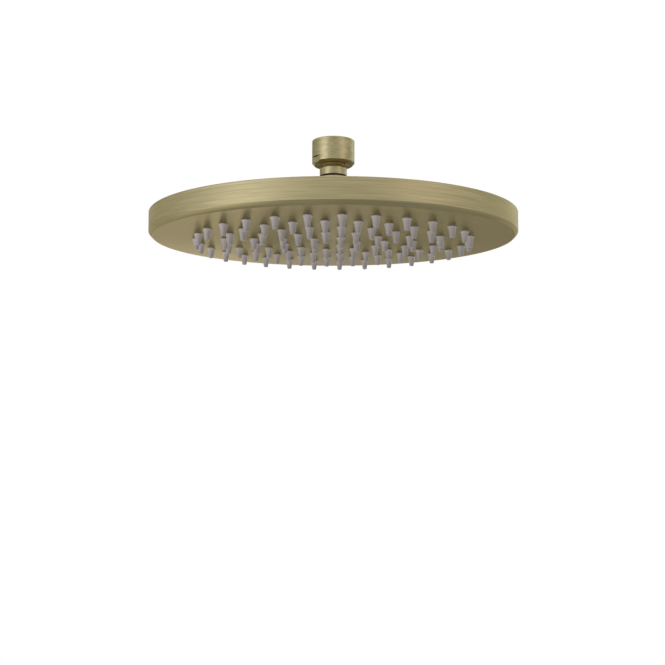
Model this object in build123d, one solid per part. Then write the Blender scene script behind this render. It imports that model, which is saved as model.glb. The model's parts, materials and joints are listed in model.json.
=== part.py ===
from build123d import *
import math
import os

# Round rain shower head on a ball swivel, in millimetres, +Z up.
# The origin is the mouth of the inlet thread, in the top face of the union nut.

# Union nut: female G1/2 thread above, ball seat below, two wrench flats low on its side
INLET_THREAD_D = 20.955
INLET_THREAD_L = 7.5
THREAD_RELIEF = 0.4
NUT_D = 29.4
NUT_H = 17.2
NUT_LOWER_EDGE = 1.6
NUT_TOP_EDGE = 0.4
FLAT_DEPTH = 0.95
FLAT_H = 5.2
FLAT_TURN = 30.0

# Ball swivel
BALL_D = 16.4
BALL_DROP = 13.0
BALL_TOP_CUT = 1.8
SWIVEL_GAP = 0.05
MOUTH_D = 23.0
SEAT_LEDGE = 1.05
SEAT_RISE = 0.75
SEAT_PLAY = 0.1
SEAL_GROOVE_W = 1.2
SEAL_GROOVE_DEPTH = 0.85
SEAL_ROOM = 0.03

# Stem below the ball: collar, threaded tail and plain spigot round one water bore
BORE_D = 7.0
COLLAR_D = 18.8
COLLAR_H = 5.5
COLLAR_DROP = 6.0
TAIL_D = 12.0
SPIGOT_STEP = 0.8
SPIGOT_L = 6.0
THREAD_GAP = 0.05
STEM_WASHER_T = 1.6
STEM_WASHER_INSET = 0.4

# Inlet washer, filter and flow regulator
INLET_WASHER_T = 2.0
INLET_WASHER_GAP = 0.25
INLET_WASHER_SINK = 0.1
INLET_WASHER_HOLE_D = 15.0
FILTER_EDGE = 1.1
FILTER_T = 0.4
FILTER_FIT = 0.05
FILTER_HOLE_D = 1.8
FILTER_HOLE_PITCH = 2.6
FILTER_RINGS = 2
FILTER_COUNT_STEP = 6
REGULATOR_D = 10.3
REGULATOR_H = 3.5
REGULATOR_FIT = 0.05
REGULATOR_SKIRT_H = 1.3
REGULATOR_RECESS = 0.3
REGULATOR_HOLE_D = 1.4
REGULATOR_HOLES = 6
REGULATOR_CIRCLE_D = 5.2
REGULATOR_RING_D = 0.8

# Head: face and rim
HEAD_D = 250.0
HEAD_H = 43.9
RIM_H = 15.4
RIM_T = 2.2
FACE_T = 1.5
LOWER_EDGE_H = 2.5
LOWER_EDGE_W = 2.4

# Back cover, seated on a ledge inside the rim
COVER_T = 1.2
COVER_SLOPE = 4.0
BOSS_STRAIGHT_H = 4.0
COVER_FIT = 0.05
COVER_SINK = 0.1
LEDGE_W = 1.0

# Locknut and washer inside the boss of the back cover
LOCKNUT_AF = 17.0
LOCKNUT_H = 5.0
LOCK_WASHER_T = 1.0
LOCK_WASHER_EDGE = 0.4
BOSS_ROOM = 1.0

# Nozzles, in rings that all start on the same line
FIRST_RING_R = 16.2
FIRST_RING_COUNT = 5
RING_COUNT_STEP = 6
RINGS = 5
FACE_MARGIN = 31.6
NOZZLE_BASE_D = 5.8
NOZZLE_LIP_H = 0.9
NOZZLE_NECK_D = 5.0
NOZZLE_TIP_D = 3.0
NOZZLE_L = 7.2
NOZZLE_BORE_D = 1.2
NOZZLE_FIT = 0.15
MAT_T = 1.2
MAT_MARGIN = 8.0

# Water chamber on the back of the face
CHAMBER_H = 3.3
CHAMBER_PLATE_T = 2.0
CHAMBER_WALL_T = 3.5
CHAMBER_SEAL_D = 1.9
CHAMBER_SEAL_LAND = 1.5
CHAMBER_FLANGE_ROOM = 4.0
RIB_T = 1.6
CHANNEL_W = 8.0
SHELL_ROOM = 0.1
HUB_H = 24.0
HUB_WALL = 2.5
INSERT_H = 12.0
INSERT_WALL = 2.5
TAIL_ROOM = 0.5

# Screws of the water chamber
SCREWS = 8
SCREW_D = 2.4
SCREW_HEAD_D = 5.6
SCREW_HEAD_H = 1.8
SCREW_SOCKET_AF = 2.0
SCREW_SOCKET_DEPTH = 1.0
SCREW_EDGE = 6.5
SCREW_HOLE_GAP = 0.05
SCREW_TIP_ROOM = 0.8
SCREW_HOLE_FLOOR = 0.4
SCREW_BOSS_WALL = 2.0

# Heights that follow from the sizes above
thread_end = -INLET_THREAD_L
washer_top = thread_end - INLET_WASHER_SINK
shoulder = washer_top - INLET_WASHER_T
ball_z = -BALL_DROP
collar_top = ball_z - COLLAR_DROP
collar_bottom = collar_top - COLLAR_H
boss_top = collar_bottom - STEM_WASHER_T
face = boss_top - HEAD_H
face_inside = face + FACE_T
rim_top = face + RIM_H
mat_top = face_inside + MAT_T
plate_bottom = mat_top + CHAMBER_H
plate_top = plate_bottom + CHAMBER_PLATE_T
hub_top = plate_top + HUB_H
insert_bottom = hub_top - INSERT_H
spigot_top = insert_bottom + TAIL_ROOM
spigot_end = spigot_top - SPIGOT_L
seal_z = spigot_top - SPIGOT_L / 2
washer_under_boss = boss_top - COVER_T - LOCK_WASHER_T
regulator_top = ball_z + BALL_TOP_CUT - REGULATOR_RECESS
regulator_bottom = regulator_top - REGULATOR_H
nozzle_tip = face - NOZZLE_L

# Radii that follow from the sizes above
nut_r = NUT_D / 2
thread_r = INLET_THREAD_D / 2
relief_r = thread_r + THREAD_RELIEF
ball_r = BALL_D / 2
cavity_r = ball_r + SWIVEL_GAP
pocket_r = cavity_r + SEAT_LEDGE
head_r = HEAD_D / 2
rim_inside_r = head_r - RIM_T
tail_r = TAIL_D / 2
spigot_r = tail_r - SPIGOT_STEP
insert_r = tail_r + INSERT_WALL
hub_r = insert_r + HUB_WALL
locknut_r = LOCKNUT_AF / math.sqrt(3)
boss_inside_r = locknut_r + BOSS_ROOM
outer_ring_r = head_r - FACE_MARGIN
ring_pitch = (outer_ring_r - FIRST_RING_R) / (RINGS - 1)
mat_r = outer_ring_r + MAT_MARGIN
flange_r = rim_inside_r - CHAMBER_FLANGE_ROOM
screw_circle_r = flange_r - SCREW_EDGE
regulator_r = REGULATOR_D / 2
skirt_r = regulator_r - REGULATOR_RING_D - 2 * SEAL_ROOM
seal_inside_r = mat_r + CHAMBER_SEAL_LAND
seal_outside_r = seal_inside_r + CHAMBER_SEAL_D + 2 * SEAL_ROOM


def turned(*corners):
    """A turned solid from the (radius, height) corners of half its section."""
    return revolve(Plane.XZ * make_face(Polyline(*corners, close=True)), Axis.Z)


def ring(inner_r, outer_r, bottom, top):
    """A flat ring, or a tube, between two radii."""
    return turned((inner_r, bottom), (outer_r, bottom), (outer_r, top), (inner_r, top))


def disc(outer_r, bottom, top):
    """A plain round disc on the axis."""
    return Pos(0, 0, (bottom + top) / 2) * Cylinder(outer_r, top - bottom)


def on_circle(radius, count):
    """Places evenly round a circle, the first one on +X."""
    turns = [math.radians(360 * i / count) for i in range(count)]
    return [Pos(radius * math.cos(a), radius * math.sin(a), 0) for a in turns]


def nozzle_places():
    """The axis of every nozzle, ring by ring."""
    places = []
    for i in range(RINGS):
        count = FIRST_RING_COUNT + RING_COUNT_STEP * i
        places += on_circle(FIRST_RING_R + ring_pitch * i, count)
    return places


def union_nut():
    """Nut with a chamfered foot, the inlet bore, the seat pocket and a flared mouth that holds the ball."""
    body = turned(
        (0, 0),
        (nut_r - NUT_TOP_EDGE, 0),
        (nut_r, -NUT_TOP_EDGE),
        (nut_r, NUT_LOWER_EDGE - NUT_H),
        (nut_r - NUT_LOWER_EDGE, -NUT_H),
        (0, -NUT_H),
    )
    bore = turned(
        (0, 0),
        (thread_r, 0),
        (thread_r, thread_end),
        (relief_r, thread_end),
        (relief_r, shoulder),
        (pocket_r, shoulder),
        (pocket_r, ball_z + SEAT_RISE),
        (cavity_r, ball_z + SEAT_RISE),
        (cavity_r, ball_z),
        (0, ball_z),
    )
    mouth = turned((0, ball_z), (0, -NUT_H), (MOUTH_D / 2, -NUT_H))
    body -= [bore, Pos(0, 0, ball_z) * Sphere(cavity_r), mouth]
    outside = Box(NUT_D, NUT_D, 2 * FLAT_H)
    for turn in (FLAT_TURN, FLAT_TURN + 180):
        body -= Rot(0, 0, turn) * Pos(nut_r - FLAT_DEPTH + nut_r, 0, -NUT_H) * outside
    return body


def ball_seat_ring():
    """Plastic ring whose hollow underside bears on the ball, with a groove for its O-ring."""
    outer_r = pocket_r - SWIVEL_GAP
    bottom = ball_z + SEAT_RISE + SEAT_PLAY
    top = shoulder - SEAT_PLAY
    middle = (bottom + top) / 2
    body = disc(outer_r, bottom, top) - Pos(0, 0, ball_z) * Sphere(cavity_r)
    groove = ring(
        outer_r - SEAL_GROOVE_DEPTH,
        nut_r,
        middle - SEAL_GROOVE_W / 2,
        middle + SEAL_GROOVE_W / 2,
    )
    return body - groove


def o_ring(inner_r, outer_r, z):
    """An O-ring that fills the room between two round walls."""
    return Pos(0, 0, z) * Torus((inner_r + outer_r) / 2, (outer_r - inner_r) / 2 - SEAL_ROOM)


def ball_seal():
    middle = (ball_z + SEAT_RISE + shoulder) / 2
    return o_ring(pocket_r - SWIVEL_GAP - SEAL_GROOVE_DEPTH, pocket_r, middle)


def inlet_washer():
    """Rubber washer on the shoulder under the thread, rebated on top for the filter."""
    hole_r = INLET_WASHER_HOLE_D / 2
    body = ring(hole_r, relief_r - INLET_WASHER_GAP, shoulder, washer_top)
    return body - disc(hole_r + FILTER_EDGE, washer_top - FILTER_T, washer_top)


def filter_screen():
    """Perforated steel disc in the rebate of the inlet washer."""
    bottom = washer_top - FILTER_T
    body = disc(INLET_WASHER_HOLE_D / 2 + FILTER_EDGE - FILTER_FIT, bottom, washer_top)
    hole = disc(FILTER_HOLE_D / 2, bottom, washer_top)
    places = [Pos(0, 0, 0)]
    for i in range(1, FILTER_RINGS + 1):
        count = FILTER_COUNT_STEP * i
        places += on_circle(FILTER_HOLE_PITCH * i, count)
    return body - [place * hole for place in places]


def flow_regulator():
    """Plastic insert with a ring of jets, a flange above and a narrower skirt below."""
    skirt_top = regulator_bottom + REGULATOR_SKIRT_H
    body = turned(
        (0, regulator_bottom),
        (skirt_r, regulator_bottom),
        (skirt_r, skirt_top),
        (regulator_r, skirt_top),
        (regulator_r, regulator_top),
        (0, regulator_top),
    )
    jet = disc(REGULATOR_HOLE_D / 2, regulator_bottom, regulator_top)
    return body - [place * jet for place in on_circle(REGULATOR_CIRCLE_D / 2, REGULATOR_HOLES)]


def regulator_ring():
    return o_ring(skirt_r, regulator_r, regulator_bottom + REGULATOR_SKIRT_H / 2)


def swivel_ball():
    """Ball, collar, threaded tail and grooved spigot, turned from one bar.

    The collar's shoulder is a cone through the ball's centre, so it tilts up to the nut's mouth evenly.
    """
    collar_r = COLLAR_D / 2
    body = Pos(0, 0, ball_z) * Sphere(ball_r) - disc(BALL_D, ball_z + BALL_TOP_CUT, 0)
    body += turned(
        (0, spigot_end),
        (spigot_r, spigot_end),
        (spigot_r, spigot_top),
        (tail_r, spigot_top),
        (tail_r, collar_bottom),
        (collar_r, collar_bottom),
        (collar_r, collar_top),
        (0, ball_z),
    )
    body -= disc(BORE_D / 2, spigot_end, 0)
    body -= disc(regulator_r + REGULATOR_FIT, regulator_bottom - REGULATOR_FIT, 0)
    groove = ring(
        spigot_r - SEAL_GROOVE_DEPTH,
        tail_r,
        seal_z - SEAL_GROOVE_W / 2,
        seal_z + SEAL_GROOVE_W / 2,
    )
    return body - groove


def stem_washer():
    """Black rubber washer between the collar and the boss."""
    return ring(tail_r + THREAD_GAP, COLLAR_D / 2 - STEM_WASHER_INSET, boss_top, collar_bottom)


def back_cover():
    """Spun sheet: a shallow cone from the rim, flared up into a flat-topped boss."""
    slope = math.radians(COVER_SLOPE)
    edge_r = head_r - RIM_T + LEDGE_W - COVER_FIT
    boss_r = boss_inside_r + COVER_T
    edge_z = rim_top - COVER_SINK
    flare_z = boss_top - BOSS_STRAIGHT_H
    cone_z = edge_z + (edge_r - boss_r) * math.tan(slope)
    flare_r = (flare_z - cone_z) / (math.cos(slope) - (1 - math.sin(slope)) * math.tan(slope))
    flare_x = boss_r + flare_r

    def section(grow, top):
        """Half the section under one skin of the sheet, from the axis to the edge."""
        reach = flare_r + grow
        middle = math.radians((COVER_SLOPE + 90) / 2)
        arc = ThreePointArc(
            (flare_x - reach * math.sin(slope), flare_z - reach * math.cos(slope)),
            (flare_x - reach * math.sin(middle), flare_z - reach * math.cos(middle)),
            (flare_x - reach, flare_z),
        )
        edge_drop = grow / math.cos(slope)
        foot = Polyline(arc @ 0, (edge_r, edge_z - edge_drop), (edge_r, face), (0, face))
        head = Polyline(arc @ 1, (flare_x - reach, top), (0, top), (0, face))
        return revolve(Plane.XZ * make_face([arc, foot, head]), Axis.Z)

    sheet = section(0, boss_top) - section(COVER_T, boss_top - COVER_T)
    return sheet - disc(tail_r + THREAD_GAP, face, boss_top)


def locknut_washer():
    return ring(
        tail_r + THREAD_GAP,
        locknut_r + LOCK_WASHER_EDGE,
        washer_under_boss,
        washer_under_boss + LOCK_WASHER_T,
    )


def stem_locknut():
    """Hexagon nut on the tail, tight under the boss."""
    blank = extrude(RegularPolygon(locknut_r, 6), LOCKNUT_H)
    return Pos(0, 0, washer_under_boss - LOCKNUT_H) * blank - disc(
        tail_r + THREAD_GAP, washer_under_boss - LOCKNUT_H, washer_under_boss
    )


def hub_insert():
    """Brass threaded insert moulded into the top of the hub."""
    return ring(tail_r + THREAD_GAP, insert_r, insert_bottom, hub_top)


def hub_seal():
    return o_ring(spigot_r - SEAL_GROOVE_DEPTH, spigot_r + THREAD_GAP, seal_z)


def chamber_cover():
    """Moulded water chamber: ribs on the mat, a grooved wall round it, a flange and a hub."""
    wall_r = seal_outside_r + CHAMBER_SEAL_LAND
    ribs = [
        ring(radius - RIB_T / 2, radius + RIB_T / 2, mat_top, plate_bottom)
        for radius in [FIRST_RING_R + ring_pitch * (i + 0.5) for i in range(RINGS - 1)]
    ]
    channels = [
        Pos(0, 0, mat_top) * Box(2 * mat_r, CHANNEL_W, 2 * CHAMBER_H),
        Pos(0, 0, mat_top) * Box(CHANNEL_W, 2 * mat_r, 2 * CHAMBER_H),
    ]
    body = ring(spigot_r + THREAD_GAP, flange_r, plate_bottom, plate_top)
    body += [rib - channels for rib in ribs]
    body += ring(mat_r - CHAMBER_WALL_T, mat_r + SHELL_ROOM, mat_top, plate_bottom)
    body += ring(mat_r + SHELL_ROOM, wall_r, face_inside + SHELL_ROOM, plate_bottom)
    body -= ring(seal_inside_r, seal_outside_r, face_inside, face_inside + CHAMBER_SEAL_D + SEAL_ROOM * 2)
    hub = ring(spigot_r + THREAD_GAP, hub_r, plate_top, hub_top)
    body += hub - disc(insert_r, insert_bottom, hub_top)
    hole = disc(SCREW_D / 2 + SCREW_HOLE_GAP, plate_bottom, plate_top)
    return body - [place * hole for place in on_circle(screw_circle_r, SCREWS)]


def chamber_seal():
    return Pos(0, 0, face_inside + SEAL_ROOM + CHAMBER_SEAL_D / 2) * Torus(
        (seal_inside_r + seal_outside_r) / 2, CHAMBER_SEAL_D / 2
    )


def chamber_screws():
    """Button head screws with a hexagon socket, through the flange into the bosses of the shell."""
    shank_end = face_inside + SCREW_TIP_ROOM
    head = disc(SCREW_HEAD_D / 2, plate_top, plate_top + SCREW_HEAD_H)
    socket = extrude(RegularPolygon(SCREW_SOCKET_AF / math.sqrt(3), 6), SCREW_SOCKET_DEPTH)
    screw = head - Pos(0, 0, plate_top + SCREW_HEAD_H - SCREW_SOCKET_DEPTH) * socket
    screw += disc(SCREW_D / 2, shank_end, plate_top)
    return Compound(children=[place * screw for place in on_circle(screw_circle_r, SCREWS)])


def nozzle_mat():
    """One silicone mat with a lipped cone nozzle through every hole of the face."""
    lip = face - NOZZLE_LIP_H
    nozzle = turned(
        (NOZZLE_BORE_D / 2, nozzle_tip),
        (NOZZLE_TIP_D / 2, nozzle_tip),
        (NOZZLE_NECK_D / 2, lip),
        (NOZZLE_BASE_D / 2, lip),
        (NOZZLE_BASE_D / 2, face_inside),
        (NOZZLE_BORE_D / 2, face_inside),
    )
    bore = disc(NOZZLE_BORE_D / 2, face_inside, mat_top)
    mat = disc(mat_r, face_inside, mat_top) - [place * bore for place in nozzle_places()]
    return mat + [place * nozzle for place in nozzle_places()]


def front_shell():
    """Face and rim in one piece, with a 45 degree lower edge, a ledge for the cover and screw bosses."""
    ledge = rim_top - COVER_SINK - COVER_T / math.cos(math.radians(COVER_SLOPE))
    body = turned(
        (0, face),
        (head_r - LOWER_EDGE_W, face),
        (head_r, face + LOWER_EDGE_H),
        (head_r, rim_top),
        (rim_inside_r + LEDGE_W, rim_top),
        (rim_inside_r + LEDGE_W, ledge),
        (rim_inside_r, ledge),
        (rim_inside_r, face_inside),
        (0, face_inside),
    )
    boss = disc(SCREW_D / 2 + SCREW_BOSS_WALL, face_inside, plate_bottom)
    tap = disc(SCREW_D / 2 + SCREW_HOLE_GAP, face_inside + SCREW_HOLE_FLOOR, plate_bottom)
    body += [place * boss for place in on_circle(screw_circle_r, SCREWS)]
    body -= [place * tap for place in on_circle(screw_circle_r, SCREWS)]
    hole = disc(NOZZLE_BASE_D / 2 + NOZZLE_FIT, face, face_inside)
    return body - [place * hole for place in nozzle_places()]


PIECES = {
    "union_nut": union_nut,
    "inlet_washer": inlet_washer,
    "filter_screen": filter_screen,
    "ball_seat_ring": ball_seat_ring,
    "ball_seal": ball_seal,
    "flow_regulator": flow_regulator,
    "regulator_ring": regulator_ring,
    "swivel_ball": swivel_ball,
    "stem_washer": stem_washer,
    "back_cover": back_cover,
    "locknut_washer": locknut_washer,
    "stem_locknut": stem_locknut,
    "hub_insert": hub_insert,
    "hub_seal": hub_seal,
    "chamber_cover": chamber_cover,
    "chamber_seal": chamber_seal,
    "chamber_screws": chamber_screws,
    "nozzle_mat": nozzle_mat,
    "front_shell": front_shell,
}

os.makedirs("parts", exist_ok=True)
for name, make in PIECES.items():
    export_step(make(), f"parts/{name}.step")
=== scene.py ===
import json
import math

import bmesh
import bpy
from mathutils import Matrix, Vector


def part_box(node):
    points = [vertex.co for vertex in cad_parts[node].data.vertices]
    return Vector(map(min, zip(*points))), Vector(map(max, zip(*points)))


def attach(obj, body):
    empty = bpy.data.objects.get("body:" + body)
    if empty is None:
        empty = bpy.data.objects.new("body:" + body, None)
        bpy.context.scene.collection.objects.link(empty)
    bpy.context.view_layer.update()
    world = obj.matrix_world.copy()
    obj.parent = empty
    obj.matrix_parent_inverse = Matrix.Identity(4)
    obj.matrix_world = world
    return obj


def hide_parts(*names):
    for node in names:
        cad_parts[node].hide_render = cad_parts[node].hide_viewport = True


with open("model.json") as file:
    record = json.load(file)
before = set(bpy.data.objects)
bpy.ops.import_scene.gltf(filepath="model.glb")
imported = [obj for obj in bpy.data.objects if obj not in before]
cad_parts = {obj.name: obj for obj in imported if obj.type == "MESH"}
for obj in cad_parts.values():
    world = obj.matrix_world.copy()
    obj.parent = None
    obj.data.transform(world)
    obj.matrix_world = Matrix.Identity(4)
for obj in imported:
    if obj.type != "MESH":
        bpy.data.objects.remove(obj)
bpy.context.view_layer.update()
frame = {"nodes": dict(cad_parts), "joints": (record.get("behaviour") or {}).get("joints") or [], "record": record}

# Union nut
# The turned brass nut that screws onto the shower arm: a half-inch pipe thread above, a flared mouth below
# that holds the ball, and two wrench flats milled low on its side. Its skin is plated and brushed round.
MM = 0.001
FULL_TURN = 2 * math.pi
nut_low, nut_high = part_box("union_nut")
nut_r = nut_high.x
inlet = frame["record"]["mounts"][0]["dims"]
thread_r = inlet["r_mm"] * MM
thread_end = nut_high.z - inlet["length_mm"] * MM
ball_z = frame["joints"][0]["pos_m"][2]
shoulder_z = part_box("inlet_washer")[0].z
relief_r = thread_r + 0.4 * MM
cavity_r = 8.25 * MM
pocket_r = 9.3 * MM
seat_rise = 0.75 * MM
mouth_r = 11.5 * MM
nut_chamfer = 1.6 * MM
chamfer_rows = 6
flat_depth = 0.95 * MM
flat_top = nut_low.z + 5.2 * MM
flat_break = 0.05 * MM
flat_turn = math.radians(30)
bore_round = 0.3 * MM
top_round = 0.4 * MM
chamfer_round = 0.15 * MM
foot_round = 0.1 * MM
mouth_round = 0.2 * MM
thread_pitch = 1.814 * MM
thread_depth = 1.1 * MM
thread_turns = 3.4
ridge_root = 0.42 * thread_pitch
ridge_crest = 0.1 * thread_pitch
ridge_sink = 0.05 * MM
ridge_start = nut_high.z - 0.8 * thread_pitch
ridge_steps = round(72 * thread_turns)


def turned(corners, closed=True, steps=192, segments=4):
    """A section turned about the Z axis. A corner is its radius, its height and the reach of its rounding."""
    bm = bmesh.new()
    points = [bm.verts.new((radius, 0, height)) for radius, height, reach in corners]
    ends = points[1:] + points[:1] if closed else points[1:]
    for start, end in zip(points, ends):
        bm.edges.new((start, end))
    for point, (radius, height, reach) in zip(points, corners):
        if reach:
            bmesh.ops.bevel(
                bm, geom=[point], offset=reach, offset_type="OFFSET", affect="VERTICES",
                segments=segments, profile=0.5, material=-1,
            )
    bmesh.ops.spin(
        bm, geom=bm.verts[:] + bm.edges[:], cent=(0, 0, 0), axis=(0, 0, 1),
        angle=FULL_TURN, steps=steps, use_merge=True,
    )
    bmesh.ops.remove_doubles(bm, verts=bm.verts, dist=0.0001 * MM)
    bmesh.ops.recalc_face_normals(bm, faces=bm.faces)
    return bm


def made(name, bm, *finishes):
    """The object of a finished mesh, smooth except at its corners."""
    mesh = bpy.data.meshes.new(name)
    bm.to_mesh(mesh)
    bm.free()
    for finish in finishes:
        mesh.materials.append(finish)
    mesh.shade_smooth()
    mesh.set_sharp_from_angle(angle=math.radians(35))
    piece = bpy.data.objects.new(name, mesh)
    bpy.context.scene.collection.objects.link(piece)
    return piece


class Wire:
    """A socket in a shader tree, so that shader maths reads as plain arithmetic."""

    def __init__(self, tree, socket=None):
        self.tree = tree
        self.socket = socket

    def node(self, kind, settings, sockets, output=0):
        """A new node with its settings and the values or wires of its sockets, as a wire from one output."""
        new = self.tree.nodes.new(kind)
        for name, value in settings.items():
            setattr(new, name, value)
        for name, value in sockets.items():
            if isinstance(value, Wire):
                self.tree.links.new(value.socket, new.inputs[name])
            else:
                new.inputs[name].default_value = value
        return Wire(self.tree, new.outputs[output] if new.outputs else None)

    def math(self, operation, first, second):
        return self.node("ShaderNodeMath", {"operation": operation}, {0: first, 1: second})

    def __add__(self, other):
        return self.math("ADD", self, other)

    def __sub__(self, other):
        return self.math("SUBTRACT", self, other)

    def __rsub__(self, other):
        return self.math("SUBTRACT", other, self)

    def __mul__(self, other):
        return self.math("MULTIPLY", self, other)

    __radd__ = __add__
    __rmul__ = __mul__

    def blend(self, first, second):
        """The colour that lies between two others by this wire. A Mix node's sockets go by number."""
        return self.node("ShaderNodeMix", {"data_type": "RGBA"}, {0: self, 6: first, 7: second}, 2)


def blank_finish(name):
    """A new material, a wire to add its nodes with, and the place of a point on the piece."""
    material = bpy.data.materials.new(name)
    material.use_nodes = True
    material.node_tree.nodes.clear()
    wire = Wire(material.node_tree)
    return material, wire, wire.node("ShaderNodeTexCoord", {}, {}, "Object")


def off_axis(place):
    """The part of a place that lies across the Z axis, and its length."""
    flat = place.node("ShaderNodeVectorMath", {"operation": "MULTIPLY"}, {0: place, 1: (1, 1, 0)})
    return flat, place.node("ShaderNodeVectorMath", {"operation": "LENGTH"}, {0: flat}, "Value")


def brushed_brass(name, stroke, contrast, depth, satin, swirl, edge_tint):
    """Plated brass brushed in circles.

    Stroke, contrast and depth are those of the brush lines: how they break up round the piece, how much
    they differ and how far they lean to the dark tone. Satin is the roughness, swirl the spread of the gloss.
    """
    fine, coarse = 1600, 850
    dark = (0.240, 0.210, 0.111, 1)
    light = (0.338, 0.295, 0.160, 1)
    material, wire, place = blank_finish(name)
    flat, radius = off_axis(place)
    heading = wire.node("ShaderNodeVectorMath", {"operation": "NORMALIZE"}, {0: flat})
    around = wire.node("ShaderNodeVectorMath", {"operation": "SCALE"}, {0: heading, "Scale": stroke})
    height = wire.node("ShaderNodeSeparateXYZ", {}, {0: place}, "Z")

    def strokes(spacing):
        across = wire.node("ShaderNodeCombineXYZ", {}, {"X": radius * spacing, "Z": height * spacing})
        lay = wire.node("ShaderNodeVectorMath", {"operation": "ADD"}, {0: around, 1: across})
        return wire.node("ShaderNodeTexNoise", {}, {"Vector": lay, "Scale": 1, "Detail": 2, "Roughness": 0.6})

    thin = strokes(fine)
    broad = strokes(coarse)
    lines = thin * 0.7 + broad * 0.3
    tone = ((lines - 0.5) * contrast + (0.5 - depth)).blend(dark, light)
    bump = wire.node("ShaderNodeBump", {}, {"Strength": 0.12, "Distance": 0.05 * MM, "Height": thin})
    skin = wire.node("ShaderNodeBsdfPrincipled", {}, {
        "Base Color": tone,
        "Metallic": 1,
        "Roughness": lines * 0.12 + satin,
        "Specular Tint": edge_tint,
        "Anisotropic": swirl,
        "Normal": bump,
    })
    wire.node("ShaderNodeOutputMaterial", {}, {"Surface": skin})
    return material


def bare_metal(name, dark, light, roughness, metal=1):
    """Plain turned metal with fine tool rings; a metal value below one makes it less metallic."""
    material, wire, place = blank_finish(name)
    rings = wire.node("ShaderNodeTexWave",
                      {"wave_type": "RINGS", "rings_direction": "SPHERICAL"},
                      {"Vector": place, "Scale": 400, "Distortion": 2, "Detail": 2})
    tone = rings.blend(dark, light)
    skin = wire.node("ShaderNodeBsdfPrincipled", {}, {
        "Base Color": tone,
        "Metallic": metal,
        "Roughness": rings * 0.1 + roughness,
        "Specular Tint": light,
    })
    wire.node("ShaderNodeOutputMaterial", {}, {"Surface": skin})
    return material


def arc(radius, middle, start, end, count):
    """Corners along a round stretch of a section, between two angles above the level."""
    angles = [math.radians(start + (end - start) * i / (count - 1)) for i in range(count)]
    return [(radius * math.cos(a), middle + radius * math.sin(a), 0) for a in angles]


lip_angle = -math.degrees(math.atan2(ball_z - nut_low.z, mouth_r))
seat_angle = math.degrees(math.asin(seat_rise / cavity_r))
chamfer_steps = [nut_chamfer * i / chamfer_rows for i in range(1, chamfer_rows)]
nut_mesh = turned([
    (thread_r, nut_high.z, bore_round),
    (nut_r, nut_high.z, top_round),
    (nut_r, flat_top + flat_break, 0),
    (nut_r, flat_top, 0),
    (nut_r, nut_low.z + nut_chamfer, chamfer_round),
    *[(nut_r - step, nut_low.z + nut_chamfer - step, 0) for step in chamfer_steps],
    (nut_r - nut_chamfer, nut_low.z, foot_round),
    (mouth_r, nut_low.z, mouth_round),
    *arc(cavity_r, ball_z, lip_angle, seat_angle, count=12),
    (pocket_r, ball_z + seat_rise, 0),
    (pocket_r, shoulder_z, 0),
    (relief_r, shoulder_z, 0),
    (relief_r, thread_end, 0),
    (thread_r, thread_end, 0),
])
flat_out = Vector((math.cos(flat_turn), math.sin(flat_turn), 0))
for vert in nut_mesh.verts:
    reach = vert.co.dot(flat_out)
    over = abs(reach) - (nut_r - flat_depth)
    if vert.co.z < flat_top + flat_break / 2 and over > 0:
        vert.co -= flat_out * math.copysign(over, reach)

# the thread is one ridge wound down the bore
ridge = [(0, ridge_root), (-thread_depth, ridge_crest), (-thread_depth, -ridge_crest), (0, -ridge_root)]
ridge_verts = [
    nut_mesh.verts.new((thread_r + ridge_sink + inward, 0, ridge_start + rise))
    for inward, rise in ridge
]
ridge_face = nut_mesh.faces.new(ridge_verts)
bmesh.ops.spin(
    nut_mesh, geom=[ridge_face, *ridge_face.edges, *ridge_verts], cent=(0, 0, 0), axis=(0, 0, 1),
    dvec=(0, 0, -thread_pitch * thread_turns / ridge_steps),
    angle=FULL_TURN * thread_turns, steps=ridge_steps,
)
bmesh.ops.recalc_face_normals(nut_mesh, faces=nut_mesh.faces)
# the flared mouth round the ball takes a duller, browner brass: painted shade that darkens the recess round the
# ball and takes away its glints
for face in nut_mesh.faces:
    middle = face.calc_center_median()
    if middle.z < ball_z and middle.xy.length < mouth_r - mouth_round / 2:
        face.material_index = 1
nut_brass = brushed_brass(
    "brushed_brass_nut", stroke=3, contrast=5, depth=0.2, satin=0.25, swirl=0.7,
    edge_tint=(0.5, 0.51, 0.5, 1),
)
# painted light and shade: a duller, browner brass whose colour, metal and roughness set the tone of the shaded
# recess between nut and collar
painted_recess_brass = bare_metal(
    "painted_recess_brass", dark=(0.38, 0.29, 0.11, 1), light=(0.48, 0.37, 0.15, 1), roughness=0.5, metal=0.3,
)
nut = made("turned_union_nut", nut_mesh, nut_brass, painted_recess_brass)
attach(nut, "union")
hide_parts("union_nut")

# Rubber rings, filter screen and steel fixings
# Moulded black rubber and bright steel. The inlet washer lies on the shoulder under the thread and carries
# the filter, a punched disc; the O-rings lie in grooves, and the screws hold the water chamber.


def black_rubber():
    material, wire, place = blank_finish("black_rubber")
    grain = wire.node("ShaderNodeTexNoise", {}, {"Vector": place, "Scale": 900, "Detail": 3})
    tone = grain.blend((0.017, 0.011, 0.004, 1), (0.035, 0.024, 0.010, 1))
    bump = wire.node("ShaderNodeBump", {}, {"Strength": 0.2, "Distance": 0.1 * MM, "Height": grain})
    skin = wire.node("ShaderNodeBsdfPrincipled", {}, {
        "Base Color": tone, "Roughness": grain * 0.2 + 0.5, "Specular IOR Level": 0.15, "Normal": bump,
    })
    wire.node("ShaderNodeOutputMaterial", {}, {"Surface": skin})
    return material


def dress(material, *names):
    """Gives the frame's own nodes their finish."""
    for name in names:
        mesh = frame["nodes"][name].data
        mesh.materials.clear()
        mesh.materials.append(material)


rubber = black_rubber()
steel = bare_metal("bright_steel", dark=(0.48, 0.48, 0.47, 1), light=(0.6, 0.6, 0.59, 1), roughness=0.25)
dress(rubber, "inlet_washer", "ball_seal", "regulator_ring", "hub_seal", "chamber_seal")
dress(steel, "filter_screen", "locknut_washer", "chamber_screws")

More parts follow.
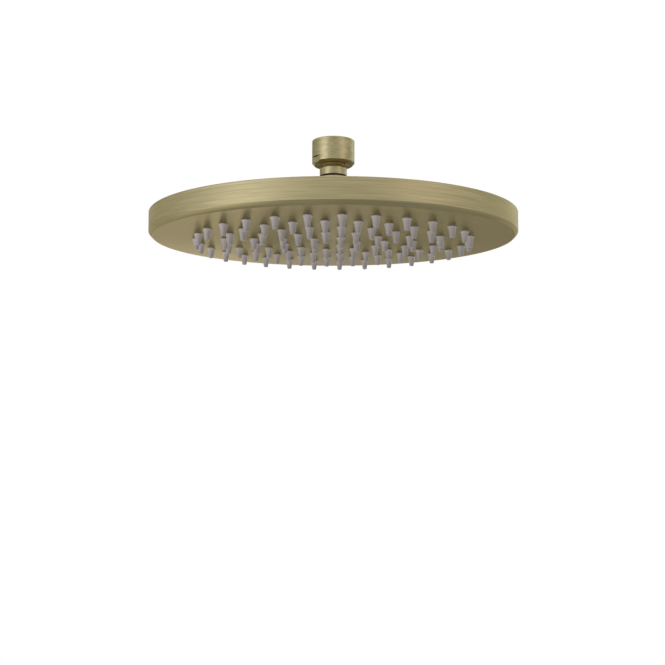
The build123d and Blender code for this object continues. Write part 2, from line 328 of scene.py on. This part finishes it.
# Ball seat ring, flow regulator and water chamber
# Moulded white plastic: the ring that bears on the ball, the insert that meters the water, and the
# chamber behind the face that spreads it to the nozzles.


def white_plastic():
    material, wire, place = blank_finish("white_plastic")
    cloud = wire.node("ShaderNodeTexNoise", {}, {"Vector": place, "Scale": 60, "Detail": 4})
    tone = cloud.blend((0.74, 0.74, 0.72, 1), (0.82, 0.82, 0.8, 1))
    skin = wire.node("ShaderNodeBsdfPrincipled", {}, {
        "Base Color": tone, "Roughness": cloud * 0.15 + 0.35,
    })
    wire.node("ShaderNodeOutputMaterial", {}, {"Surface": skin})
    return material


dress(white_plastic(), "ball_seat_ring", "flow_regulator", "chamber_cover")

# Swivel ball
# Ball, collar and hollow tail turned from one brass bar. The ball sits in the nut, and the collar shows
# below it as the neck of the head, with a cone shoulder that clears the nut as it tilts.
stem_low, stem_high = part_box("swivel_ball")
collar_r = stem_high.x
stem_washer_low, stem_washer_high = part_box("stem_washer")
collar_bottom = stem_washer_high.z
collar_top = collar_bottom + 5.5 * MM
ball_r = 8.2 * MM
tail_r = 6.0 * MM
spigot_r = 5.2 * MM
bore_r = 3.5 * MM
spigot_h = 6.0 * MM
slip_fit = 0.05 * MM
ball_break = 0.1 * MM
collar_round = 0.6 * MM
stem_break = 0.2 * MM
regulator_low, regulator_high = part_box("flow_regulator")
regulator_pocket_r = regulator_high.x + slip_fit
regulator_pocket_z = regulator_low.z - slip_fit
ball_top_angle = math.degrees(math.asin((stem_high.z - ball_z) / ball_r))
ball_foot_angle = -math.degrees(math.atan2(ball_z - collar_top, collar_r))
stem_mesh = turned([
    (regulator_pocket_r, stem_high.z, ball_break),
    *arc(ball_r, ball_z, ball_top_angle, ball_foot_angle, count=24),
    (collar_r, collar_top, collar_round),
    (collar_r, collar_bottom, stem_break),
    (tail_r, collar_bottom, 0),
    (tail_r, stem_low.z + spigot_h, stem_break),
    (spigot_r, stem_low.z + spigot_h, 0),
    (spigot_r, stem_low.z, stem_break),
    (bore_r, stem_low.z, 0),
    (bore_r, regulator_pocket_z, 0),
    (regulator_pocket_r, regulator_pocket_z, 0),
])
# the ball above the collar takes the same duller, browner brass: its colour is painted light and shade for the
# recess between nut and collar
for face in stem_mesh.faces:
    middle = face.calc_center_median()
    if middle.z > collar_top and middle.xy.length > bore_r:
        face.material_index = 1
stem = made("turned_swivel_ball", stem_mesh, nut_brass, painted_recess_brass)
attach(stem, "head")
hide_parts("swivel_ball")

# Stem washer
# A black rubber ring pinched between the collar and the boss of the cover, seen as a thin dark line. It is
# moulded with round edges and seals the hole that the stem goes through.
washer_r = stem_washer_high.x
washer_round = 0.35 * MM
washer_mesh = turned([
    (tail_r + slip_fit, stem_washer_high.z, 0),
    (washer_r, stem_washer_high.z, washer_round),
    (washer_r, stem_washer_low.z, washer_round),
    (tail_r + slip_fit, stem_washer_low.z, 0),
])
stem_washer = made("rubber_stem_washer", washer_mesh, rubber)
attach(stem_washer, "head")
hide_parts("stem_washer")

# Back cover
# One spun brass sheet: a shallow cone from the rim that sweeps up into the boss round the stem. It drops
# into the ledge of the rim, and a locknut inside the boss clamps it to the collar.
cover_low, cover_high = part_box("back_cover")
cover_edge_r = cover_high.x
cover_t = 1.2 * MM
cover_slope = math.radians(4)
boss_r = 12.015 * MM
cover_edge_z = cover_low.z + cover_t / math.cos(cover_slope)
cone_tip = (cover_edge_r - boss_r) * math.tan(cover_slope)
flare_r = 18.0 * MM
flare_reach = math.tan((math.pi / 2 - cover_slope) / 2)
boss_inside_r = boss_r - cover_t
boss_round = 0.8 * MM
sheet_round = 0.3 * MM
cover_mesh = turned([
    (tail_r + slip_fit, cover_high.z, 0),
    (boss_r, cover_high.z, boss_round),
    (boss_r, cover_edge_z + cone_tip, flare_r * flare_reach),
    (cover_edge_r, cover_edge_z, sheet_round),
    (cover_edge_r, cover_low.z, 0),
    (boss_inside_r, cover_low.z + (cover_edge_r - boss_inside_r) * math.tan(cover_slope),
     (flare_r + cover_t) * flare_reach),
    (boss_inside_r, cover_high.z - cover_t, sheet_round),
    (tail_r + slip_fit, cover_high.z - cover_t, 0),
], steps=256, segments=16)
cover_brass = brushed_brass(
    "brushed_brass_cover", stroke=4, contrast=3, depth=0, satin=0.36, swirl=0.6,
    edge_tint=(0.7, 0.62, 0.5, 1),
)
cover = made("spun_back_cover", cover_mesh, cover_brass)
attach(cover, "head")
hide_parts("back_cover")

# Locknut and hub insert
# Plain turned brass: the hexagon nut that draws the cover up to the collar, and the threaded insert in
# the hub of the water chamber.
plain_brass = bare_metal("plain_brass", dark=(0.48, 0.36, 0.14, 1), light=(0.6, 0.46, 0.2, 1), roughness=0.25)
dress(plain_brass, "stem_locknut", "hub_insert")

# Nozzle mat
# One moulding of soft grey silicone: a thin mat behind the face with a hollow cone through every hole,
# each with a small lip where it leaves the brass.
mat_low, mat_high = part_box("nozzle_mat")
shell_low, shell_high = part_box("front_shell")
face_z = shell_low.z
face_inside_z = face_z + 1.5 * MM
mat_r = mat_high.x
lip_r = 2.9 * MM
lip_h = 0.9 * MM
neck_r = 2.5 * MM
tip_r = 1.5 * MM
nozzle_bore_r = 0.6 * MM
lip_round = 0.25 * MM
neck_round = 0.15 * MM
tip_round = 0.45 * MM
nozzle_bore_round = 0.15 * MM
first_ring_r = 16.2 * MM
ring_pitch = 19.3 * MM
rings = 5
first_ring_count = 5
ring_count_step = 6
nozzle_sides = 20
mat_sides = 128


def on_circle(radius, count, z):
    """Places evenly round a circle, the first one on +X."""
    angles = [FULL_TURN * i / count for i in range(count)]
    return [Vector((radius * math.cos(a), radius * math.sin(a), z)) for a in angles]


def nozzle_places(z):
    """The axis of every nozzle, ring by ring, at one height."""
    places = []
    for i in range(rings):
        places += on_circle(first_ring_r + ring_pitch * i, first_ring_count + ring_count_step * i, z)
    return places


def circle(bm, radius, middle, count):
    """The edges of a new round loop."""
    new = bmesh.ops.create_circle(bm, radius=radius, segments=count, matrix=Matrix.Translation(middle))
    return list({edge for vert in new["verts"] for edge in vert.link_edges})


def rims_at(bm, z):
    """The open edges that lie at one height."""
    near = 0.001 * MM
    return [e for e in bm.edges if len(e.link_faces) < 2 and all(abs(v.co.z - z) < near for v in e.verts)]


mat_mesh = turned([
    (lip_r, face_inside_z, 0),
    (lip_r, face_z - lip_h, lip_round),
    (neck_r, face_z - lip_h, neck_round),
    (tip_r, mat_low.z, tip_round),
    (nozzle_bore_r, mat_low.z, nozzle_bore_round),
    (nozzle_bore_r, mat_high.z, 0),
], closed=False, steps=nozzle_sides, segments=3)
first_nozzle = mat_mesh.verts[:] + mat_mesh.edges[:] + mat_mesh.faces[:]
for place in nozzle_places(0):
    copy = bmesh.ops.duplicate(mat_mesh, geom=first_nozzle)["geom"]
    verts = [part for part in copy if isinstance(part, bmesh.types.BMVert)]
    bmesh.ops.translate(mat_mesh, vec=place, verts=verts)
bmesh.ops.delete(mat_mesh, geom=[part for part in first_nozzle if isinstance(part, bmesh.types.BMVert)])
edge_loops = []
for z in (face_inside_z, mat_high.z):
    edge_loops += circle(mat_mesh, mat_r, (0, 0, z), mat_sides)
    bmesh.ops.triangle_fill(mat_mesh, edges=rims_at(mat_mesh, z), use_beauty=True)
bmesh.ops.bridge_loops(mat_mesh, edges=edge_loops)
bmesh.ops.recalc_face_normals(mat_mesh, faces=mat_mesh.faces)


def grey_silicone():
    """Soft grey, with painted light at the root of a nozzle fading to painted shade at its tip."""
    material, wire, place = blank_finish("grey_silicone")
    cloud = wire.node("ShaderNodeTexNoise", {}, {"Vector": place, "Scale": 220, "Detail": 3})
    grain = wire.node("ShaderNodeTexNoise", {}, {"Vector": place, "Scale": 3000, "Detail": 2})
    height = wire.node("ShaderNodeSeparateXYZ", {}, {0: place}, "Z")
    # painted light and shade: the colour runs from darker at the tip to lighter at the root
    painted_root_light = wire.node("ShaderNodeMapRange", {}, {"Value": height, "From Min": mat_low.z, "From Max": face_z})
    tone = (cloud * 0.35 + painted_root_light * 0.65).blend((0.31, 0.282, 0.266, 1), (0.63, 0.574, 0.544, 1))
    bump = wire.node("ShaderNodeBump", {}, {"Strength": 0.15, "Distance": 0.05 * MM, "Height": grain})
    skin = wire.node("ShaderNodeBsdfPrincipled", {}, {
        "Base Color": tone, "Roughness": cloud * 0.15 + 0.42, "Normal": bump,
    })
    wire.node("ShaderNodeOutputMaterial", {}, {"Surface": skin})
    return material


nozzle_mat = made("silicone_nozzle_mat", mat_mesh, grey_silicone())
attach(nozzle_mat, "head")
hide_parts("nozzle_mat")

# Front shell
# Face and rim in one spun brass pan with a 45 degree lower edge, a ledge for the cover and a hole for
# every nozzle. Eight bosses on the back of the face take the screws of the water chamber.
head_r = shell_high.x
rim_top = shell_high.z
rim_t = 2.2 * MM
ledge_w = 1.0 * MM
ledge_z = cover_low.z
lower_edge_w = 2.4 * MM
lower_edge_h = 2.5 * MM
face_land = 2.0 * MM
lower_edge_round = 0.4 * MM
rim_round = 0.35 * MM
ledge_round = 0.1 * MM
hole_r = lip_r + 0.15 * MM
screw_count = 8
screw_head_r = 2.8 * MM
screw_circle_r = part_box("chamber_screws")[1].x - screw_head_r
boss_h = 4.5 * MM
screw_boss_r = 3.2 * MM
screw_hole_r = 1.25 * MM
screw_hole_floor = 0.4 * MM
shell_steps = 256
hole_sides = 24
shell_mesh = turned([
    (head_r - lower_edge_w - face_land, face_z, 0),
    (head_r - lower_edge_w, face_z, lower_edge_round),
    (head_r, face_z + lower_edge_h, lower_edge_round),
    (head_r, rim_top, rim_round),
    (head_r - rim_t + ledge_w, rim_top, ledge_round),
    (head_r - rim_t + ledge_w, ledge_z, 0),
    (head_r - rim_t, ledge_z, 0),
    (head_r - rim_t, face_inside_z, 0),
], closed=False, steps=shell_steps)
for place in nozzle_places(face_z):
    circle(shell_mesh, hole_r, place, hole_sides)
face_rims = rims_at(shell_mesh, face_z)
holes = [e for e in face_rims if e.verts[0].co.xy.length < head_r - lower_edge_w - 2 * face_land]
deepened = bmesh.ops.extrude_edge_only(shell_mesh, edges=holes)["geom"]
hole_tops = [part for part in deepened if isinstance(part, bmesh.types.BMVert)]
bmesh.ops.translate(shell_mesh, vec=(0, 0, face_inside_z - face_z), verts=hole_tops)
bmesh.ops.triangle_fill(shell_mesh, edges=rims_at(shell_mesh, face_z), use_beauty=True)
boss_feet = []
for place in on_circle(screw_circle_r, screw_count, face_inside_z):
    boss_feet += circle(shell_mesh, screw_boss_r, place, hole_sides)
bmesh.ops.triangle_fill(shell_mesh, edges=rims_at(shell_mesh, face_inside_z), use_beauty=True)
raised = bmesh.ops.extrude_edge_only(shell_mesh, edges=boss_feet)["geom"]
boss_tops = [part for part in raised if isinstance(part, bmesh.types.BMVert)]
bmesh.ops.translate(shell_mesh, vec=(0, 0, boss_h), verts=boss_tops)
boss_z = face_inside_z + boss_h
for place in on_circle(screw_circle_r, screw_count, boss_z):
    mouth = circle(shell_mesh, screw_hole_r, place, hole_sides)
    near = [e for e in rims_at(shell_mesh, boss_z) if (e.verts[0].co - place).length < 2 * screw_boss_r]
    bmesh.ops.bridge_loops(shell_mesh, edges=near)
    sunk = bmesh.ops.extrude_edge_only(shell_mesh, edges=mouth)["geom"]
    floor_verts = [part for part in sunk if isinstance(part, bmesh.types.BMVert)]
    bmesh.ops.translate(shell_mesh, vec=(0, 0, screw_hole_floor - boss_h), verts=floor_verts)
    shell_mesh.faces.new(floor_verts)
bmesh.ops.recalc_face_normals(shell_mesh, faces=shell_mesh.faces)
shell_brass = brushed_brass(
    "brushed_brass_shell", stroke=4, contrast=3, depth=0, satin=0.33, swirl=0.7,
    edge_tint=(0.58, 0.53, 0.45, 1),
)
shell = made("spun_front_shell", shell_mesh, shell_brass)
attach(shell, "head")
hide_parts("front_shell")

# Floor
# A pale studio floor under the head. The camera sees it fade into the white background close to the head,
# and the brass sees it fade further out.
floor_drop = 0.42
floor_reach = 1.15
camera_fade = (0.08, 0.38)
brass_fade = (0.25, floor_reach * 0.97)
floor_mesh = bmesh.new()
bmesh.ops.create_circle(
    floor_mesh, cap_ends=True, segments=96, radius=floor_reach,
    matrix=Matrix.Translation((0, 0, face_z - floor_drop)),
)


def light_paths(wire):
    """Whether a ray comes straight from the camera, and whether it comes by way of gloss or glass."""
    straight = wire.node("ShaderNodeLightPath", {}, {}, "Is Camera Ray")
    gloss = wire.node("ShaderNodeLightPath", {}, {}, "Is Glossy Ray")
    glass = wire.node("ShaderNodeLightPath", {}, {}, "Is Transmission Ray")
    return straight, gloss + glass


def studio_floor():
    material, wire, place = blank_finish("studio_floor")
    radius = off_axis(place)[1]

    def fade(start, end):
        return wire.node("ShaderNodeMapRange", {"interpolation_type": "SMOOTHSTEP"},
                         {"Value": radius, "From Min": start, "From Max": end})

    straight, bounced = light_paths(wire)
    seen = straight * fade(*camera_fade) + bounced * fade(*brass_fade)
    paint = wire.node("ShaderNodeBsdfDiffuse", {}, {"Color": (0.67, 0.67, 0.67, 1)})
    white = wire.node("ShaderNodeEmission", {}, {"Strength": 1})
    skin = wire.node("ShaderNodeMixShader", {}, {0: seen, 1: paint, 2: white})
    wire.node("ShaderNodeOutputMaterial", {}, {"Surface": skin})
    return material


floor = made("studio_floor", floor_mesh, studio_floor())

# World and lamps
# A white surround, seen by the camera and in the metal, and seven soft boxes: one each side of the camera
# for the upright light bands on rim and nut, one low on the left that picks out the nozzles, three behind
# the head and one above it.
scene = bpy.context.scene
scene.view_settings.view_transform = "Standard"
world = bpy.data.worlds.new("studio")
scene.world = world
world.use_nodes = True
world.node_tree.nodes.clear()
sky = Wire(world.node_tree)
straight, bounced = light_paths(sky)
ambient = 0.44
glow = (straight + bounced) * (1 - ambient) + ambient
backdrop = sky.node("ShaderNodeBackground", {}, {"Color": (1, 1, 1, 1), "Strength": glow})
sky.node("ShaderNodeOutputWorld", {}, {"Surface": backdrop})

lamp_aim = Vector((0, 0, face_z))
# each soft box: its bearing from the camera's side, its rise, its distance, width, height, power and colour
soft_boxes = {
    "left_box": (-50, 6, 1.3, 0.75, 1.3, 5.8, (0.96, 0.96, 1.13)),
    "right_box": (52, 20, 1.3, 0.6, 1.1, 1.9, (1, 0.84, 0.9)),
    "rear_right_box": (134, 8, 1.3, 0.6, 0.9, 3.0, (0.84, 0.98, 1.12)),
    "rear_left_box": (-161, -10, 1.2, 0.42, 0.3, 0.98, (1, 0.95, 0.82)),
    "low_left_box": (-68, -33, 0.47, 0.25, 0.25, 0.3, (1, 0.97, 0.9)),
    "back_box": (205, 36, 1.4, 0.9, 0.5, 1.6, (1, 1, 1)),
    "top_box": (10, 62, 1.3, 0.9, 0.8, 5, (1, 1, 1)),
}
for name, (bearing, rise, distance, width, tall, power, colour) in soft_boxes.items():
    data = bpy.data.lights.new(name, "AREA")
    data.shape = "RECTANGLE"
    data.size = width
    data.size_y = tall
    data.energy = power
    data.color = colour
    b, r = math.radians(bearing), math.radians(rise)
    way = Vector((math.sin(b) * math.cos(r), -math.cos(b) * math.cos(r), math.sin(r)))
    lamp = bpy.data.objects.new(name, data)
    lamp.location = lamp_aim + way * distance
    lamp.rotation_euler = way.to_track_quat("Z", "Y").to_euler()
    lamp.visible_camera = False
    scene.collection.objects.link(lamp)

# Camera
# It stands a little below the face and looks slightly upwards, so that the face shows as a narrow
# ellipse under the rim with the nozzles hanging from it.
photo_side = 665
focal_pixels = 867.5
film_width = 36
camera_aside = -0.56 * MM
camera_back = 594.1 * MM
camera_below = 99.3 * MM
camera_pitch = 3.496
camera_data = bpy.data.cameras.new("camera")
camera_data.sensor_width = film_width
camera_data.lens = film_width * focal_pixels / photo_side
camera = bpy.data.objects.new("camera", camera_data)
camera.location = (camera_aside, -camera_back, face_z - camera_below)
camera.rotation_euler = (math.radians(90 + camera_pitch), 0, 0)
scene.collection.objects.link(camera)
scene.camera = camera
